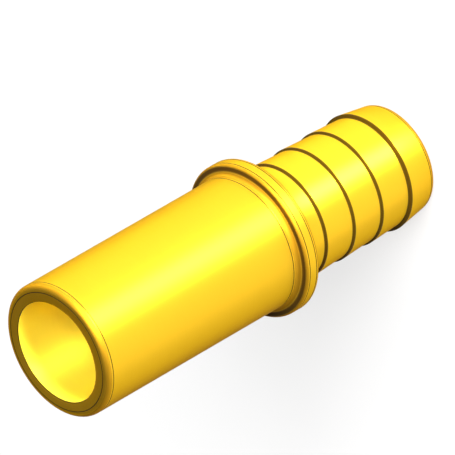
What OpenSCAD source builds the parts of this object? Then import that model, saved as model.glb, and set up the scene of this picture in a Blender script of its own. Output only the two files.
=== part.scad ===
// Hose adapter, turned from one bar of brass and bored from both ends.
// A plain stem pushes into a pipe socket up to a round collar, and a hose is pushed over the
// barbed tail. The part stands on its hose end, with its axis on +Z and the stem upwards.
// Sizes are in millimetres.

/* [Stem] */
// Outside diameter of the stem, which is that of the pipe it takes the place of
stem_d = 15; // [13.5:0.1:22]
// Length of the stem, from the face of the collar to its end face
stem_len = 27.6; // [15:0.1:45]
// Wall of the stem around its bore
stem_wall = 1.85; // [1:0.05:2.6]
// Radius of the round on the stem's leading edge
stem_nose_r = 0.7; // [0.1:0.05:0.9]

/* [Collar] */
// Height that the collar stands above the stem
collar_rise = 1.175; // [1.025:0.025:4]
// Thickness of the collar along the axis
collar_t = 1.85; // [0.8:0.05:5]
// Radius of the hollow between the stem and the collar's face
collar_root_r = 0.65; // [0.1:0.05:0.8]
// Radius of the rounds on the two edges of the collar's rim
collar_rim_r = 0.35; // [0.1:0.05:0.5]

/* [Neck] */
// Diameter of the neck, and of the tail at the foot of each barb
neck_d = 12.55; // [10:0.05:14]
// Length of the neck, from the back of the collar to the first barb
neck_len = 3.25; // [1:0.05:10]
// Radius of the hollow between the neck and the collar's back
neck_root_r = 0.3; // [0.1:0.05:0.9]

/* [Barbs] */
// Number of barbs on the tail
barb_count = 4; // [1:1:8]
// Length of one barb, from its step to its foot
barb_pitch = 4.1; // [2:0.1:8]
// Height of a barb's step above the neck
barb_rise = 0.225; // [0.1:0.025:1]
// Height of the step of the last barb, next to the hose end, which grips hardest
end_barb_rise = 0.4; // [0.1:0.025:1]
// Depth below the neck to which the last barb tapers, to lead the hose on
end_drop = 0.225; // [0.05:0.025:0.6]
// Radius of the round on the edge of the hose end
end_round_r = 0.65; // [0.1:0.05:0.8]

/* [Bore] */
// Wall of the tail around its bore, measured at the neck
tail_wall = 1.5; // [0.8:0.05:2.4]
// Distance that the wide bore runs in past the face of the collar
bore_overrun = 0.4; // [0:0.1:5]
// Angle of the drill point that leaves the cone between the two bores
drill_angle = 118; // [60:1:150]

/* [Hidden] */

// Radii of the turned and bored surfaces
stem_r = stem_d / 2;
collar_r = stem_r + collar_rise;
neck_r = neck_d / 2;
end_r = neck_r - end_drop;
stem_bore_r = stem_r - stem_wall;
tail_bore_r = neck_r - tail_wall;

// Heights above the hose end
barbs_top = barb_count * barb_pitch;
neck_top = barbs_top + neck_len;
collar_top = neck_top + collar_t;
stem_top = collar_top + stem_len;
wide_bore_foot = collar_top - bore_overrun;
drill_cone_foot = wide_bore_foot - (stem_bore_r - tail_bore_r) / tan(drill_angle / 2);

// Directions in the half section, where X is the radius and Y the height
OUT = [1, 0];
IN = [-1, 0];
UP = [0, 1];
DOWN = [0, -1];

// Length by which the bores run on past the metal
cut_lap = 1;
// Segments of the small rounds in the section
ROUND_FN = 96;
// Segments around the axis
TURN_FN = 240;

// Unit vector along v
function unit(v) = v / norm(v);

// Radius of a barb's crest, counting the barbs up from the hose end
function crest_r(i) = neck_r + (i == 0 ? end_barb_rise : barb_rise);

// The rounded corners of the outside, each as its sharp point, the directions back and on along
// the outline, and its radius
end_edge = [[end_r, 0], IN, unit([crest_r(0) - end_r, barb_pitch]), end_round_r];
neck_root = [[neck_r, neck_top], DOWN, OUT, neck_root_r];
rim_back = [[collar_r, neck_top], IN, UP, collar_rim_r];
rim_front = [[collar_r, collar_top], DOWN, IN, collar_rim_r];
collar_root = [[stem_r, collar_top], OUT, UP, collar_root_r];
stem_nose = [[stem_r, stem_top], DOWN, IN, stem_nose_r];

// Half the angle between a corner's two edges
function half_angle(c) = acos(c[1] * c[2]) / 2;

// The two points where a corner's arc touches its edges, in the order of the outline
function bevel(c) =
    let (touch = c[3] / tan(half_angle(c)))
    [c[0] + c[1] * touch, c[0] + c[2] * touch];

// The disc whose edge is a corner's arc. It is added at an outer corner, inside the metal, and
// cut away at an inner one, as the nose of a round tool does it.
module corner_disc(c) {
    centre = c[0] + unit(c[1] + c[2]) * c[3] / sin(half_angle(c));
    translate(centre)
        circle(r = c[3], $fn = ROUND_FN);
}

// Half section of the turned bar, still solid, with its rounded corners cut straight across
module turned_outline() {
    polygon([
        [0, 0],
        each bevel(end_edge),
        for (i = [0 : barb_count - 1])
            each [
                [crest_r(i), (i + 1) * barb_pitch],
                [neck_r, (i + 1) * barb_pitch]
            ],
        each bevel(neck_root),
        each bevel(rim_back),
        each bevel(rim_front),
        each bevel(collar_root),
        each bevel(stem_nose),
        [0, stem_top]
    ]);
}

// Half section of what the drills take out: the bore of the tail, the cone left by the point of
// the wider drill, and the bore of the stem
module drilled_outline() {
    polygon([
        [0, -cut_lap],
        [tail_bore_r, -cut_lap],
        [tail_bore_r, drill_cone_foot],
        [stem_bore_r, wide_bore_foot],
        [stem_bore_r, stem_top + cut_lap],
        [0, stem_top + cut_lap]
    ]);
}

// Half section of the finished wall
module wall_section() {
    difference() {
        union() {
            turned_outline();
            for (c = [end_edge, rim_back, rim_front, stem_nose])
                corner_disc(c);
        }
        for (c = [neck_root, collar_root])
            corner_disc(c);
        drilled_outline();
    }
}

// The whole fitting, one turned piece
module hose_adapter() {
    color([0.97, 0.80, 0.18])
        rotate_extrude($fn = TURN_FN)
            wall_section();
}

hose_adapter();
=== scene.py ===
"""Dresses the turned brass hose adapter and stands it on a pale studio floor.

The adapter is one piece of brass: a plain stem, a stop collar, a neck and a barbed tail, bored
right through. Its outline is drawn up ring by ring from the hose end, as the bar is turned, its
corners are rounded or broken, and every surface gets the finish of its own tool. Shade is
painted into the brass at the inner corners, in the witness grooves and on the rounds, and
light is painted into the bore.
"""
import logging
import math
from dataclasses import dataclass, field
from enum import Enum

import bmesh
import bpy
from mathutils import Matrix, Vector


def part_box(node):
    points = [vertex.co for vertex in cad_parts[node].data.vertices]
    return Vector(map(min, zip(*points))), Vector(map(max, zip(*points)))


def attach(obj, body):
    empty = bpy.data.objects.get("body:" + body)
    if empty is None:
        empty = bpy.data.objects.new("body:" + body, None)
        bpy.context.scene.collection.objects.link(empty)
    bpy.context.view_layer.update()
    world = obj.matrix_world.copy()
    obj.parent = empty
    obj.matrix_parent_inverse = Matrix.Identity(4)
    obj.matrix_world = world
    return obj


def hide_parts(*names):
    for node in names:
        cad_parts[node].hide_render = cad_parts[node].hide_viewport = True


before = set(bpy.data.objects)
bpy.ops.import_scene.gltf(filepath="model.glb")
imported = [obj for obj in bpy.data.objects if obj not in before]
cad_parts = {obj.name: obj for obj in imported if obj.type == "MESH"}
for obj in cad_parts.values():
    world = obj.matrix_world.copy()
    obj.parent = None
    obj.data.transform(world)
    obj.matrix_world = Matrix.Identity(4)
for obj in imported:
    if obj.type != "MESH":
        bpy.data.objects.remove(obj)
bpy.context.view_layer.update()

# Metres in a millimetre. Sizes of the fitting are in millimetres, those of the studio in metres.
MM = 0.001

Colour = tuple[float, float, float]
log = logging.getLogger("hose_adapter")


class Finish(Enum):
    """The surfaces that the tools leave, each with its own look; some carry painted shade or painted
    light.
    """

    TURNED = "turned"
    FACED = "faced"
    FORMED_PAINTED_SHADE = "formed"
    BORED_PAINTED_LIGHT = "bored"
    PAINTED_SHADE_LINE = "recess"


class Corner(Enum):
    """What is done to the corner at a ring, and with how many facets."""

    PLAIN = 0
    BROKEN = 2
    ROUNDED = 10


@dataclass(frozen=True)
class Ring:
    """One ring of the turned outline, where two surfaces meet.

    Attributes:
        radius: distance from the axis, in millimetres.
        height: height above the hose end, in millimetres.
        corner: what is done to the corner there.
        setback: how far from the sharp corner its round or break begins, in millimetres.
    """

    radius: float
    height: float
    corner: Corner = Corner.PLAIN
    setback: float = 0.0


@dataclass(frozen=True)
class WitnessLine:
    """The fine line that a tool leaves where one cut blends into the next.

    Attributes:
        radius: radius of its middle, in millimetres.
        height: height of its middle, in millimetres.
        slope: how much the surface widens for each millimetre upwards.
        on_face: True where the surface lies square to the axis.
        width: width of the line, in millimetres.
        depth: depth of the line, in millimetres.
    """

    radius: float
    height: float
    slope: float = 0.0
    on_face: bool = False
    width: float = 0.10
    depth: float = 0.03

    def rings(self) -> list[Ring]:
        """Draws the line as a shallow groove.

        Returns:
            The three rings of the groove, in the order of the outline.
        """
        half = self.width / 2
        if self.on_face:
            return [
                Ring(self.radius + half, self.height),
                Ring(self.radius, self.height - self.depth),
                Ring(self.radius - half, self.height),
            ]
        return [
            Ring(self.radius - self.slope * half, self.height - half),
            Ring(self.radius - self.depth, self.height),
            Ring(self.radius + self.slope * half, self.height + half),
        ]

    def holds(self, radius: float, height: float) -> bool:
        """Tells whether a spot lies in the groove.

        Args:
            radius: the spot's distance from the axis.
            height: its height.

        Returns:
            True between the groove's two edges.
        """
        off = (abs(radius - self.radius), abs(height - self.height))
        across, deep = off if self.on_face else reversed(off)
        reach = 2.0 * self.depth
        return across < self.width / 2 and deep < reach


@dataclass(frozen=True)
class BarbedTail:
    """The tail that the hose is pushed over, and the plain neck above it. Sizes in millimetres."""

    foot_radius: float = 6.275
    barb_count: int = 4
    barb_pitch: float = 4.1
    barb_rise: float = 0.225
    end_barb_rise: float = 0.4
    end_drop: float = 0.225
    end_round: float = 0.65
    neck_length: float = 3.25
    crest_break: float = 0.04
    foot_fillet: float = 0.07

    @property
    def end_radius(self) -> float:
        """Radius of the hose end at its sharp corner."""
        return self.foot_radius - self.end_drop

    @property
    def end_slope(self) -> float:
        """How much the end barb widens for each millimetre upwards."""
        return (self.crest_radius(0) - self.end_radius) / self.barb_pitch

    @property
    def top(self) -> float:
        """Height of the neck's top, where the collar begins."""
        return self.barb_count * self.barb_pitch + self.neck_length

    def crest_radius(self, barb: int) -> float:
        """Gives the radius of a barb's crest.

        Args:
            barb: the barb's number, counted up from the hose end.

        Returns:
            The radius, in millimetres.
        """
        return self.foot_radius + (self.end_barb_rise if barb == 0 else self.barb_rise)

    def end_setback(self) -> float:
        """Works out where the round on the hose end begins.

        Returns:
            The distance from the sharp corner to the point where the arc touches its edges.
        """
        lean = math.atan(self.end_slope)
        return self.end_round / math.tan((math.pi / 2 + lean) / 2)

    def line(self) -> WitnessLine:
        """Gives the witness line where the end round begins."""
        height = self.end_setback() + WitnessLine.width
        return WitnessLine(self.end_radius + self.end_slope * height, height, self.end_slope)

    def rings(self) -> list[Ring]:
        """Draws the tail and the neck.

        Returns:
            The rings from the hose end up to the last barb's step.
        """
        made = [Ring(self.end_radius, 0.0, Corner.ROUNDED, self.end_setback())]
        made.extend(self.line().rings())
        for barb in range(self.barb_count):
            step = (barb + 1) * self.barb_pitch
            made.append(Ring(self.crest_radius(barb), step, Corner.BROKEN, self.crest_break))
            made.append(Ring(self.foot_radius, step, Corner.BROKEN, self.foot_fillet))
        return made


@dataclass(frozen=True)
class StopCollar:
    """The round collar that stops the stem in its socket. Sizes in millimetres."""

    foot: float
    neck_radius: float
    stem_radius: float
    rise: float = 1.175
    thickness: float = 1.85
    neck_root: float = 0.3
    rim_round: float = 0.35
    stem_root: float = 0.65

    @property
    def radius(self) -> float:
        """Radius of the collar's rim."""
        return self.stem_radius + self.rise

    @property
    def top(self) -> float:
        """Height of the collar's face, from which the stem stands up."""
        return self.foot + self.thickness

    def lines(self) -> list[WitnessLine]:
        """Gives the witness lines where the rim's rounds begin."""
        inset = self.rim_round + WitnessLine.width
        return [
            WitnessLine(self.radius, self.foot + inset),
            WitnessLine(self.radius, self.top - inset),
        ]

    def rings(self) -> list[Ring]:
        """Draws the collar.

        Returns:
            The rings from the root of the neck up to the root of the stem.
        """
        below, above = self.lines()
        return [
            Ring(self.neck_radius, self.foot, Corner.ROUNDED, self.neck_root),
            Ring(self.radius, self.foot, Corner.ROUNDED, self.rim_round),
            *below.rings(),
            *above.rings(),
            Ring(self.radius, self.top, Corner.ROUNDED, self.rim_round),
            Ring(self.stem_radius, self.top, Corner.ROUNDED, self.stem_root),
        ]


@dataclass(frozen=True)
class Stem:
    """The plain round stem that pushes into a pipe socket. Sizes in millimetres."""

    foot: float
    root: float
    radius: float = 7.5
    length: float = 27.6
    nose_round: float = 0.7

    @property
    def top(self) -> float:
        """Height of the stem's end face."""
        return self.foot + self.length

    def lines(self) -> list[WitnessLine]:
        """Gives the witness lines above its root, below its nose and on its end face."""
        inset = self.nose_round + WitnessLine.width
        return [
            WitnessLine(self.radius, self.foot + self.root + WitnessLine.width),
            WitnessLine(self.radius, self.top - inset),
            WitnessLine(self.radius - inset, self.top, on_face=True),
        ]

    def rings(self) -> list[Ring]:
        """Draws the stem.

        Returns:
            The rings from the witness line at its root to the one on its end face.
        """
        low, high, inner = self.lines()
        return [
            *low.rings(),
            *high.rings(),
            Ring(self.radius, self.top, Corner.ROUNDED, self.nose_round),
            *inner.rings(),
        ]


@dataclass(frozen=True)
class SteppedBore:
    """The bore through the stem and the narrower one through the tail. Sizes in millimetres."""

    mouth: float
    wide_radius: float = 5.65
    wide_length: float = 28.0
    narrow_radius: float = 4.775
    drill_angle: float = 118.0
    mouth_break: float = 0.07
    tail_break: float = 0.1

    @property
    def wide_foot(self) -> float:
        """Height at which the wide bore ends in the cone of its drill's point."""
        return self.mouth - self.wide_length

    def at_mouth(self, radius: float, height: float) -> bool:
        """Tells whether a spot, by its radius and height, lies on the broken edge of the mouth."""
        near = radius < self.wide_radius + self.mouth_break
        return near and 0.0 < self.mouth - height < self.mouth_break

    def rings(self) -> list[Ring]:
        """Draws the bore, downwards from its mouth in the stem's end face.

        Returns:
            The rings from the mouth down to the hose end.
        """
        slope = math.tan(math.radians(self.drill_angle / 2))
        cone = (self.wide_radius - self.narrow_radius) / slope
        return [
            Ring(self.wide_radius, self.mouth, Corner.BROKEN, self.mouth_break),
            Ring(self.wide_radius, self.wide_foot),
            Ring(self.narrow_radius, self.wide_foot - cone),
            Ring(self.narrow_radius, 0.0, Corner.BROKEN, self.tail_break),
        ]


# Finer layers that all noise has
NOISE_LAYERS = 3.0


class NodeSheet:
    """A material's or world's node tree, with short words for what is laid on it."""

    def __init__(self, tree: bpy.types.NodeTree) -> None:
        """Clears the tree for use.

        Args:
            tree: the node tree of a material or a world.
        """
        self.tree = tree
        self.tree.nodes.clear()

    def add(self, kind: str, inputs: dict | None = None, **settings: object) -> bpy.types.Node:
        """Lays a node on the sheet.

        Args:
            kind: Blender's name of the node type.
            inputs: values or output sockets for the node's inputs, by name or place.
            settings: the node's own settings.

        Returns:
            The new node.
        """
        node = self.tree.nodes.new(kind)
        for name, value in settings.items():
            setattr(node, name, value)
        for name, value in (inputs or {}).items():
            if isinstance(value, bpy.types.NodeSocket):
                self.tree.links.new(value, node.inputs[name])
            else:
                node.inputs[name].default_value = value
        return node

    def maths(self, operation: str, *terms: object, clamp: bool = False) -> bpy.types.NodeSocket:
        """Works out a number from one to three others.

        Args:
            operation: the Math node's operation.
            terms: numbers or sockets.
            clamp: True keeps the result from 0 to 1.

        Returns:
            The socket that holds the result.
        """
        node = self.add("ShaderNodeMath", dict(enumerate(terms)), operation=operation)
        node.use_clamp = clamp
        return node.outputs[0]

    def stretch(self, vector: object, by: tuple[float, float, float]) -> bpy.types.NodeSocket:
        """Scales a vector by a different factor along each axis.

        Args:
            vector: the socket that holds it.
            by: the three factors.

        Returns:
            The socket that holds the scaled vector.
        """
        node = self.add("ShaderNodeVectorMath", {0: vector, 1: by}, operation="MULTIPLY")
        return node.outputs[0]

    def noise(self, vector: object) -> bpy.types.NodeSocket:
        """Lays down smooth noise, from 0 to 1.

        Args:
            vector: the socket of the place, one unit to a blotch.

        Returns:
            The socket that holds the noise.
        """
        inputs = {"Vector": vector, "Scale": 1.0, "Detail": NOISE_LAYERS}
        return self.add("ShaderNodeTexNoise", inputs).outputs["Fac"]


@dataclass(frozen=True)
class PaintedCornerShade:
    """A corner, or a row of them along the axis, where shade is painted into the brass's colour and
    shine.

    Attributes:
        height: height of the first corner, in millimetres.
        dark: how far from the corner the painted shade is full, in millimetres.
        shade_end: how far from it the painted shade has faded out, in millimetres.
        shade_colour: the dark brown painted there as shade.
        count: how many corners there are.
        pitch: how far they are apart, in millimetres.
        shade_dulling: how much of the metal's shine the painted shade takes away.
    """

    height: float
    dark: float
    shade_end: float
    shade_colour: Colour
    count: int = 1
    pitch: float = 1.0
    shade_dulling: float = 0.6

    def share(self, sheet: NodeSheet, place: bpy.types.NodeSocket) -> bpy.types.NodeSocket:
        """Works out how much painted shade each spot gets.

        Args:
            sheet: the material's sheet.
            place: the socket of the place on the fitting.

        Returns:
            The socket of the share, from 0 where the brass is bright to 1 in the corner.
        """
        height = sheet.add("ShaderNodeSeparateXYZ", {0: place}).outputs["Z"]
        along = sheet.maths("MULTIPLY_ADD", height, 1.0 / (self.pitch * MM), -self.height / self.pitch)
        nearest = sheet.maths("ROUND", along)
        nearest = sheet.maths("MINIMUM", sheet.maths("MAXIMUM", nearest, 0.0), self.count - 1.0)
        off = sheet.maths("ABSOLUTE", sheet.maths("SUBTRACT", along, nearest))
        share = sheet.add(
            "ShaderNodeMapRange",
            {
                "Value": off,
                "From Min": self.dark / self.pitch,
                "From Max": self.shade_end / self.pitch,
                "To Min": 1.0,
                "To Max": 0.0,
            },
            interpolation_type="SMOOTHSTEP",
        )
        return share.outputs["Result"]


# Spots of fine grain and of blotches in a metre, along X, Y and Z
GRAIN = (900.0, 900.0, 9000.0)
BLOTCHES = (160.0, 160.0, 110.0)
# Share of the tool's marks in the tone, of which the blotches have the rest
MARKS_IN_TONE = 0.35
# Height of the grain, where the tool's marks stand 1 high
GRAIN_HEIGHT = 0.3
# The turn that draws highlights out across the marks, as a share of a full one
QUARTER_TURN = 0.25


@dataclass(frozen=True)
class BrassFinish:
    """Brass as one tool leaves it; some finishes also carry painted shade or painted light in their
    colour.

    Attributes:
        name: name of the material.
        colour: the brass seen straight on.
        edge_tint: the brass seen at a shallow angle.
        metal: share of the light thrown back as by plain metal, against a non-metal coat on it.
        roughness: roughness in the middle of its range.
        roughness_spread: how far the marks move the roughness to either side.
        drag: how much further light is drawn out across the marks than along them.
        mark_pitch: distance between the tool's marks, in millimetres.
        mark_depth: depth of the marks, in millimetres.
        tone_spread: how much darker the darkest blotch is than the colour.
    """

    name: str
    colour: Colour
    edge_tint: Colour
    metal: float
    roughness: float
    roughness_spread: float
    drag: float
    mark_pitch: float
    mark_depth: float
    tone_spread: float

    def material(self, corners: tuple[PaintedCornerShade, ...]) -> bpy.types.Material:
        """Makes the material, with rings of tool marks round the axis, fine grain and blotches.

        Args:
            corners: the inner corners that get painted shade.

        Returns:
            The material.
        """
        made = bpy.data.materials.new(self.name)
        made.use_nodes = True
        sheet = NodeSheet(made.node_tree)
        place = sheet.add("ShaderNodeTexCoord").outputs["Object"]
        marks = self._marks(sheet, place)
        grain = sheet.noise(sheet.stretch(place, GRAIN))
        blotch = sheet.noise(sheet.stretch(place, BLOTCHES))
        worn = sheet.maths("MULTIPLY", blotch, 1.0 - MARKS_IN_TONE)
        worn = sheet.maths("MULTIPLY_ADD", marks, MARKS_IN_TONE, worn)
        darker = tuple(part * (1.0 - self.tone_spread) for part in self.colour)
        tone = sheet.add(
            "ShaderNodeMix",
            {"Factor": worn, "A": (*self.colour, 1.0), "B": (*darker, 1.0)},
            data_type="RGBA",
        )
        colour = tone.outputs["Result"]
        metal = self.metal
        # Painted shade: each corner darkens the colour and dulls the shine towards it
        for corner in corners:
            share = corner.share(sheet, place)
            mixed = sheet.add(
                "ShaderNodeMix",
                {"Factor": share, "A": colour, "B": (*corner.shade_colour, 1.0)},
                data_type="RGBA",
            )
            colour = mixed.outputs["Result"]
            kept_shine = sheet.maths("MULTIPLY_ADD", share, -corner.shade_dulling, 1.0)
            metal = sheet.maths("MULTIPLY", kept_shine, metal)
        swing = sheet.maths("ADD", marks, sheet.maths("SUBTRACT", grain, 1.0))
        rough = sheet.maths("MULTIPLY_ADD", swing, self.roughness_spread, self.roughness)
        height = sheet.maths("MULTIPLY_ADD", grain, GRAIN_HEIGHT, marks)
        bump = sheet.add(
            "ShaderNodeBump",
            {"Height": height, "Strength": 1.0, "Distance": self.mark_depth * MM},
        )
        shader = sheet.add(
            "ShaderNodeBsdfPrincipled",
            {
                "Base Color": colour,
                "Metallic": metal,
                "Roughness": rough,
                "Normal": bump.outputs["Normal"],
                "Specular Tint": (*self.edge_tint, 1.0),
            },
        )
        if self.drag > 0.0:
            along = sheet.add("ShaderNodeTangent", direction_type="RADIAL", axis="Z")
            sheet.tree.links.new(along.outputs["Tangent"], shader.inputs["Tangent"])
            shader.inputs["Anisotropic"].default_value = self.drag
            shader.inputs["Anisotropic Rotation"].default_value = QUARTER_TURN
        sheet.add("ShaderNodeOutputMaterial", {"Surface": shader.outputs["BSDF"]})
        return made

    def _marks(self, sheet: NodeSheet, place: bpy.types.NodeSocket) -> bpy.types.NodeSocket:
        """Lays the tool's marks as rings round the axis.

        Args:
            sheet: the material's sheet.
            place: the socket of the place on the fitting.

        Returns:
            The socket of the marks, from 0 in a furrow to 1 on a ridge.
        """
        flat = sheet.stretch(place, (1.0, 1.0, 0.0))
        radius = sheet.add("ShaderNodeVectorMath", {0: flat}, operation="LENGTH").outputs["Value"]
        height = sheet.add("ShaderNodeSeparateXYZ", {0: place}).outputs["Z"]
        section = sheet.add("ShaderNodeCombineXYZ", {"X": radius, "Z": height}).outputs[0]
        per_metre = 1.0 / (self.mark_pitch * MM)
        return sheet.noise(sheet.stretch(section, (per_metre, 1.0, per_metre)))


FINISHES = {
    Finish.TURNED: BrassFinish(
        name="brass_turned",
        colour=(0.94, 0.57, 0.028),
        edge_tint=(0.07, 0.030, 0.002),
        metal=0.92,
        roughness=0.45,
        roughness_spread=0.06,
        drag=0.8,
        mark_pitch=0.22,
        mark_depth=0.0008,
        tone_spread=0.06,
    ),
    Finish.FACED: BrassFinish(
        name="brass_faced",
        colour=(0.98, 0.56, 0.035),
        edge_tint=(0.40, 0.22, 0.017),
        metal=0.97,
        roughness=0.42,
        roughness_spread=0.05,
        drag=0.0,
        mark_pitch=0.15,
        mark_depth=0.0006,
        tone_spread=0.08,
    ),
    # Painted shade: the rounds and hollows get a darker brass than the turned sides, standing in for
    # their shade
    Finish.FORMED_PAINTED_SHADE: BrassFinish(
        name="brass_formed_painted_shade",
        colour=(0.55, 0.29, 0.014),
        edge_tint=(0.08, 0.032, 0.003),
        metal=0.90,
        roughness=0.56,
        roughness_spread=0.05,
        drag=0.2,
        mark_pitch=0.12,
        mark_depth=0.0005,
        tone_spread=0.08,
    ),
    # Painted light: the bore gets a paler, more yellow and less metallic brass than the outside,
    # standing in for light that does not reach deep inside
    Finish.BORED_PAINTED_LIGHT: BrassFinish(
        name="brass_bored_painted_light",
        colour=(0.98, 0.75, 0.048),
        edge_tint=(0.98, 0.75, 0.048),
        metal=0.40,
        roughness=0.58,
        roughness_spread=0.06,
        drag=0.8,
        mark_pitch=0.35,
        mark_depth=0.0010,
        tone_spread=0.08,
    ),
    # Painted shade: a near-black brass in the witness grooves and on the bore mouth's broken edge,
    # drawn as dark lines
    Finish.PAINTED_SHADE_LINE: BrassFinish(
        name="brass_painted_shade_line",
        colour=(0.04, 0.024, 0.004),
        edge_tint=(0.04, 0.024, 0.004),
        metal=0.2,
        roughness=0.60,
        roughness_spread=0.06,
        drag=0.0,
        mark_pitch=0.20,
        mark_depth=0.0006,
        tone_spread=0.20,
    ),
}

# The finishes of the outside, which get painted shade in the corners
OUTSIDE = (Finish.TURNED, Finish.FACED, Finish.FORMED_PAINTED_SHADE)


@dataclass
class HoseAdapter:
    """The whole fitting, turned and bored from one bar.

    Attributes:
        tail: its barbed tail and neck.
        collar: its stop collar.
        stem: its plain stem.
        bore: the bore through it.
        sides: how many facets go round the axis.
        smooth_angle: facets that meet at less than this angle are shaded as one, in degrees.
        face_angle: how far from square to the axis a faced end may lie, in degrees.
        form_angle: how far from upright a turned side may lean, in degrees.
        weld_gap: points closer together than this are made one, in millimetres.
        piece: the mesh object.
    """

    tail: BarbedTail = field(default_factory=BarbedTail)
    collar: StopCollar = field(init=False)
    stem: Stem = field(init=False)
    bore: SteppedBore = field(init=False)
    sides: int = 288
    smooth_angle: float = 24.0
    face_angle: float = 24.0
    form_angle: float = 12.0
    weld_gap: float = 0.0005
    piece: bpy.types.Object = field(init=False)

    def __post_init__(self) -> None:
        """Stacks the collar, the stem and the bore on the tail."""
        stem_radius = Stem.radius
        self.collar = StopCollar(self.tail.top, self.tail.foot_radius, stem_radius)
        self.stem = Stem(self.collar.top, self.collar.stem_root)
        self.bore = SteppedBore(self.stem.top)

    def rings(self) -> list[Ring]:
        """Lists the whole outline, up the outside and down the bore."""
        return [
            *self.tail.rings(),
            *self.collar.rings(),
            *self.stem.rings(),
            *self.bore.rings(),
        ]

    def build(self) -> bpy.types.Object:
        """Turns the fitting.

        Returns:
            The finished mesh object, at the origin.
        """
        rings = self.rings()
        self._start(rings[0])
        for before, ring in zip(rings, rings[1:]):
            self._draw_on(before, ring)
        self._select_rings([rings[0], rings[-1]])
        bpy.ops.mesh.bridge_edge_loops()
        for ring in rings:
            if ring.corner is not Corner.PLAIN:
                self._work_corner(ring)
        bpy.ops.mesh.select_all(action="SELECT")
        bpy.ops.mesh.remove_doubles(threshold=self.weld_gap * MM)
        bpy.ops.mesh.normals_make_consistent(inside=False)
        bpy.ops.object.mode_set(mode="OBJECT")
        bpy.ops.object.shade_smooth_by_angle(angle=math.radians(self.smooth_angle))
        return self.piece

    def _start(self, ring: Ring) -> None:
        """Lays down the first ring of the hose end.

        Args:
            ring: where it lies.
        """
        bpy.ops.mesh.primitive_circle_add(
            vertices=self.sides,
            radius=ring.radius * MM,
            fill_type="NOTHING",
            location=(0.0, 0.0, ring.height * MM),
        )
        self.piece = bpy.context.object
        self.piece.name = self.piece.data.name = "hose_adapter_turned"
        bpy.ops.object.transform_apply(location=True, rotation=True, scale=True)
        bpy.ops.object.mode_set(mode="EDIT")
        bpy.ops.mesh.select_mode(type="EDGE")
        bpy.ops.mesh.select_all(action="SELECT")

    def _draw_on(self, before: Ring, ring: Ring) -> None:
        """Extrudes the selected ring to the next one.

        Args:
            before: the ring that is selected.
            ring: the ring to make.
        """
        rise = (ring.height - before.height) * MM
        bpy.ops.mesh.extrude_region_move(TRANSFORM_OT_translate={"value": (0.0, 0.0, rise)})
        spread = ring.radius / before.radius
        bpy.ops.transform.resize(
            value=(spread, spread, 1.0), center_override=(0.0, 0.0, ring.height * MM)
        )

    def _work_corner(self, ring: Ring) -> None:
        """Rounds or breaks the corner at a ring.

        Args:
            ring: the ring, which says how far and how finely.
        """
        self._select_rings([ring])
        bpy.ops.mesh.bevel(
            offset=ring.setback * MM,
            offset_type="OFFSET",
            segments=ring.corner.value,
            profile=0.5,
            affect="EDGES",
            clamp_overlap=False,
        )

    def _select_rings(self, rings: list[Ring], slack: float = 0.001) -> None:
        """Selects the edges that lie along certain rings.

        Args:
            rings: the rings.
            slack: how far off a ring a point may lie, in millimetres.
        """
        mesh = bmesh.from_edit_mesh(self.piece.data)
        bpy.ops.mesh.select_all(action="DESELECT")
        for edge in mesh.edges:
            ends = [self._section(vertex.co) for vertex in edge.verts]
            for ring in rings:
                spot = Vector((ring.radius, ring.height))
                if all((end - spot).length < slack for end in ends):
                    edge.select_set(True)
        bmesh.update_edit_mesh(self.piece.data)

    @staticmethod
    def _section(point: Vector) -> Vector:
        """Gives a point's radius and height, in millimetres."""
        return Vector((point.xy.length, point.z)) / MM

    def finish_of(self, centre: Vector, normal: Vector) -> Finish:
        """Says which finish a facet gets, those with painted shade or painted light included.

        Args:
            centre: the facet's middle, in metres.
            normal: the way it faces.

        Returns:
            The finish that it gets.
        """
        radius, height = self._section(centre)
        outward = normal.xy.dot(centre.xy)
        # The bore mouth's broken edge gets the painted shade line
        if self.bore.at_mouth(radius, height):
            return Finish.PAINTED_SHADE_LINE
        # The bore's wall gets the brass with painted light
        if outward < 0.0 and radius < self.bore.wide_radius:
            return Finish.BORED_PAINTED_LIGHT
        # The witness grooves get the painted shade line
        if any(line.holds(radius, height) for line in self._lines()):
            return Finish.PAINTED_SHADE_LINE
        if abs(normal.z) > math.cos(math.radians(self.face_angle)):
            return Finish.FACED
        # Rounds and hollows get the darker brass with painted shade
        if abs(normal.z) > math.sin(math.radians(self.form_angle)):
            return Finish.FORMED_PAINTED_SHADE
        return Finish.TURNED

    def _lines(self) -> list[WitnessLine]:
        """Lists every witness line."""
        return [self.tail.line(), *self.collar.lines(), *self.stem.lines()]

    def painted_shade_corners(self) -> tuple[PaintedCornerShade, ...]:
        """Lists the corners where shade is painted.

        Returns:
            The corners at the barbs' steps, as one row, and the one at the collar's face.
        """
        # Painted shade: dark brown bands at the barbs' steps and at the collar's face
        pitch, count = self.tail.barb_pitch, self.tail.barb_count
        return (
            PaintedCornerShade(
                height=pitch,
                dark=0.14,
                shade_end=0.19,
                shade_colour=(0.085, 0.050, 0.004),
                count=count,
                pitch=pitch,
            ),
            PaintedCornerShade(
                height=self.collar.top,
                dark=0.0,
                shade_end=0.10,
                shade_colour=(0.07, 0.038, 0.005),
            ),
        )

    def dress(self) -> None:
        """Gives every facet its finish, painted shade and painted light included."""
        slots = list(FINISHES)
        for finish in slots:
            corners = self.painted_shade_corners() if finish in OUTSIDE else ()
            self.piece.data.materials.append(FINISHES[finish].material(corners))
        counts = dict.fromkeys(slots, 0)
        for facet in self.piece.data.polygons:
            finish = self.finish_of(facet.center, facet.normal)
            facet.material_index = slots.index(finish)
            counts[finish] += 1
        log.info("facets by finish: %s", {key.value: count for key, count in counts.items()})


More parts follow.
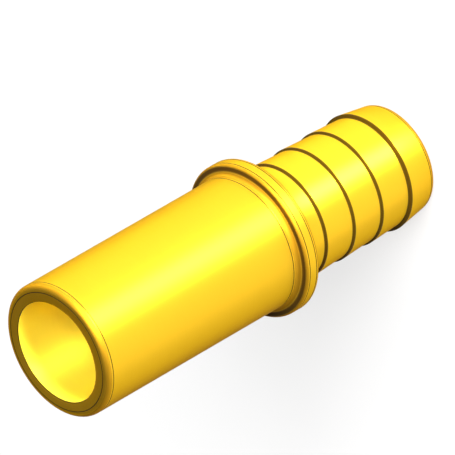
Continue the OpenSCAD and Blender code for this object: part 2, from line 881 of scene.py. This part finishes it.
@dataclass(frozen=True)
class PaleFloor:
    """The plain pale floor that the fitting stands on.

    Attributes:
        size: length of its sides, in metres.
        drop: gap under the fitting, in metres.
        paint: the share of the light that it throws back.
        glow: what the camera and shiny metal see on top of the light that falls on it.
    """

    size: float = 14.0
    drop: float = 0.00002
    paint: Colour = (0.24, 0.24, 0.24)
    glow: float = 0.73

    def build(self) -> bpy.types.Object:
        """Lays the floor.

        Returns:
            The floor, marked as part of the studio.
        """
        bpy.ops.mesh.primitive_plane_add(size=self.size, location=(0.0, 0.0, -self.drop))
        floor = bpy.context.object
        floor.name = "floor"
        floor.data.materials.append(self._material())
        return floor

    def _material(self) -> bpy.types.Material:
        """Mixes a matt white that still takes the fitting's shadow.

        Returns:
            The floor's material.
        """
        made = bpy.data.materials.new("floor_white")
        made.use_nodes = True
        sheet = NodeSheet(made.node_tree)
        seen = sheet.add("ShaderNodeLightPath").outputs
        eye = sheet.maths("ADD", seen["Is Camera Ray"], seen["Is Glossy Ray"], clamp=True)
        eye = sheet.maths("ADD", eye, seen["Is Transmission Ray"], clamp=True)
        matt = sheet.add("ShaderNodeBsdfDiffuse", {"Color": (*self.paint, 1.0)})
        glow = sheet.add(
            "ShaderNodeEmission", {"Strength": sheet.maths("MULTIPLY", eye, self.glow)}
        )
        both = sheet.add("ShaderNodeAddShader", {0: matt.outputs[0], 1: glow.outputs[0]})
        sheet.add("ShaderNodeOutputMaterial", {"Surface": both.outputs[0]})
        return made


@dataclass(frozen=True)
class Softbox:
    """A soft lamp aimed at the middle of the fitting.

    Attributes:
        name: what it is called.
        azimuth: where it stands round the fitting, 0 at the camera's side, 90 on +X, in degrees.
        elevation: how high it stands above the fitting's middle, in degrees.
        width: its width, in metres.
        height: its height, in metres.
        level: how bright a white card at the fitting, facing it, comes out.
        distance: how far off it stands, in metres.
    """

    name: str
    azimuth: float
    elevation: float
    width: float
    height: float
    level: float
    distance: float = 4.0

    def build(self, aim: Vector) -> bpy.types.Object:
        """Hangs the lamp.

        Args:
            aim: the point that it shines at.

        Returns:
            The lamp.
        """
        turn = math.radians(self.azimuth)
        lift = math.radians(self.elevation)
        flat = math.cos(lift)
        way = Vector((math.sin(turn) * flat, -math.cos(turn) * flat, math.sin(lift)))
        lamp = bpy.data.lights.new(self.name, "AREA")
        lamp.shape = "RECTANGLE"
        lamp.size = self.width
        lamp.size_y = self.height
        # A lamp of this power lights a white card that faces it to the level
        lamp.energy = self.level * (math.pi * self.distance) ** 2
        stand = bpy.data.objects.new(self.name, lamp)
        stand.location = aim + way * self.distance
        stand.rotation_euler = way.to_track_quat("Z", "Y").to_euler()
        bpy.context.scene.collection.objects.link(stand)
        return stand


@dataclass(frozen=True)
class StudioWalls:
    """The room round the floor: pale low down, and dimmer towards the ceiling.

    Attributes:
        low: brightness at the floor's edge.
        high: brightness overhead.
        fade_from: height at which it starts to dim, as the sine of the elevation.
        fade_to: height at which it is as dim as overhead.
    """

    low: float = 0.90
    high: float = 0.085
    fade_from: float = 0.03
    fade_to: float = 0.45

    def build(self) -> bpy.types.World:
        """Paints the room.

        Returns:
            The scene's world.
        """
        room = bpy.data.worlds.new("studio_room")
        bpy.context.scene.world = room
        room.use_nodes = True
        sheet = NodeSheet(room.node_tree)
        way = sheet.add("ShaderNodeTexCoord").outputs["Generated"]
        lift = sheet.add("ShaderNodeSeparateXYZ", {0: way}).outputs["Z"]
        level = sheet.add(
            "ShaderNodeMapRange",
            {
                "Value": lift,
                "From Min": self.fade_from,
                "From Max": self.fade_to,
                "To Min": self.low,
                "To Max": self.high,
            },
            interpolation_type="SMOOTHSTEP",
        )
        back = sheet.add("ShaderNodeBackground", {"Strength": level.outputs["Result"]})
        sheet.add("ShaderNodeOutputWorld", {"Surface": back.outputs["Background"]})
        return room


@dataclass(frozen=True)
class CameraView:
    """The photograph's view: almost without perspective, and rolled so that the stem lies low.

    Attributes:
        lens: focal length, in millimetres.
        sensor: width of the sensor, in millimetres.
        span: width of what the picture shows at the fitting's middle, in millimetres.
        elevation: how far the camera looks down, in degrees.
        roll: turn of the picture about the line of sight, in degrees.
        axis_right: how far right of the picture's middle the fitting's origin lies, in
            millimetres at the fitting.
        axis_up: how far above it, in millimetres at the fitting.
        nearest: the nearest that it sees, as a share of its distance from the fitting.
        furthest: the furthest that it sees, as a multiple of that distance.
    """

    lens: float = 1200.0
    sensor: float = 36.0
    span: float = 46.874
    elevation: float = 35.264
    roll: float = -120.0
    axis_right: float = 17.27
    axis_up: float = 7.31
    nearest: float = 0.1
    furthest: float = 4.0

    def build(self, middle: float) -> bpy.types.Object:
        """Sets up the camera.

        Args:
            middle: height of the fitting's middle above the hose end, in metres.

        Returns:
            The camera, which is also made the scene's own.
        """
        lift = math.radians(self.elevation)
        back = Vector((0.0, -math.cos(lift), math.sin(lift)))
        level = back.to_track_quat("Z", "Y").to_matrix()
        turned = level @ Matrix.Rotation(math.radians(self.roll), 3, "Z")
        right, up = turned.col[0], turned.col[1]
        distance = self.span * MM * self.lens / self.sensor
        lens = bpy.data.cameras.new("camera")
        lens.lens = self.lens
        lens.sensor_width = self.sensor
        lens.clip_start = distance * self.nearest
        lens.clip_end = distance * self.furthest
        stand = bpy.data.objects.new("camera", lens)
        stand.location = (
            back * (distance + middle * back.z)
            - right * self.axis_right * MM
            - up * self.axis_up * MM
        )
        stand.rotation_euler = turned.to_euler()
        bpy.context.scene.collection.objects.link(stand)
        bpy.context.scene.camera = stand
        return stand


SOFTBOXES = (
    Softbox("key", azimuth=18.0, elevation=42.0, width=2.00, height=1.80, level=1.65),
    Softbox("streak", azimuth=13.0, elevation=5.0, width=1.50, height=0.60, level=2.05),
    Softbox("side", azimuth=75.0, elevation=6.0, width=5.00, height=0.80, level=0.68),
    Softbox("rim", azimuth=120.0, elevation=6.0, width=2.40, height=0.80, level=0.24),
    Softbox("fill", azimuth=-46.0, elevation=5.0, width=4.20, height=0.60, level=0.21),
)


def report(made: bpy.types.Object, maker: type) -> None:
    """Says in the log what was made.

    Args:
        made: the object.
        maker: the class that made it.
    """
    facets = len(made.data.polygons) if made.type == "MESH" else 0
    log.info("%s made %s with %d facets", maker.__name__, made.name, facets)


def main() -> None:
    """Builds the fitting, its floor, its light and its camera."""
    logging.basicConfig(level=logging.INFO, format="%(name)s: %(message)s")
    bpy.ops.object.select_all(action="DESELECT")
    adapter = HoseAdapter()
    piece = adapter.build()
    adapter.dress()
    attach(piece, "root")
    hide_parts("hose_adapter")
    report(piece, HoseAdapter)
    report(PaleFloor().build(), PaleFloor)
    lowest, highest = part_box("hose_adapter")
    middle = (lowest + highest) / 2
    for softbox in SOFTBOXES:
        report(softbox.build(middle), Softbox)
    StudioWalls().build()
    report(CameraView().build(middle.z), CameraView)
    view = bpy.context.scene.view_settings
    view.view_transform = "Standard"


if __name__ == "__main__":
    main()
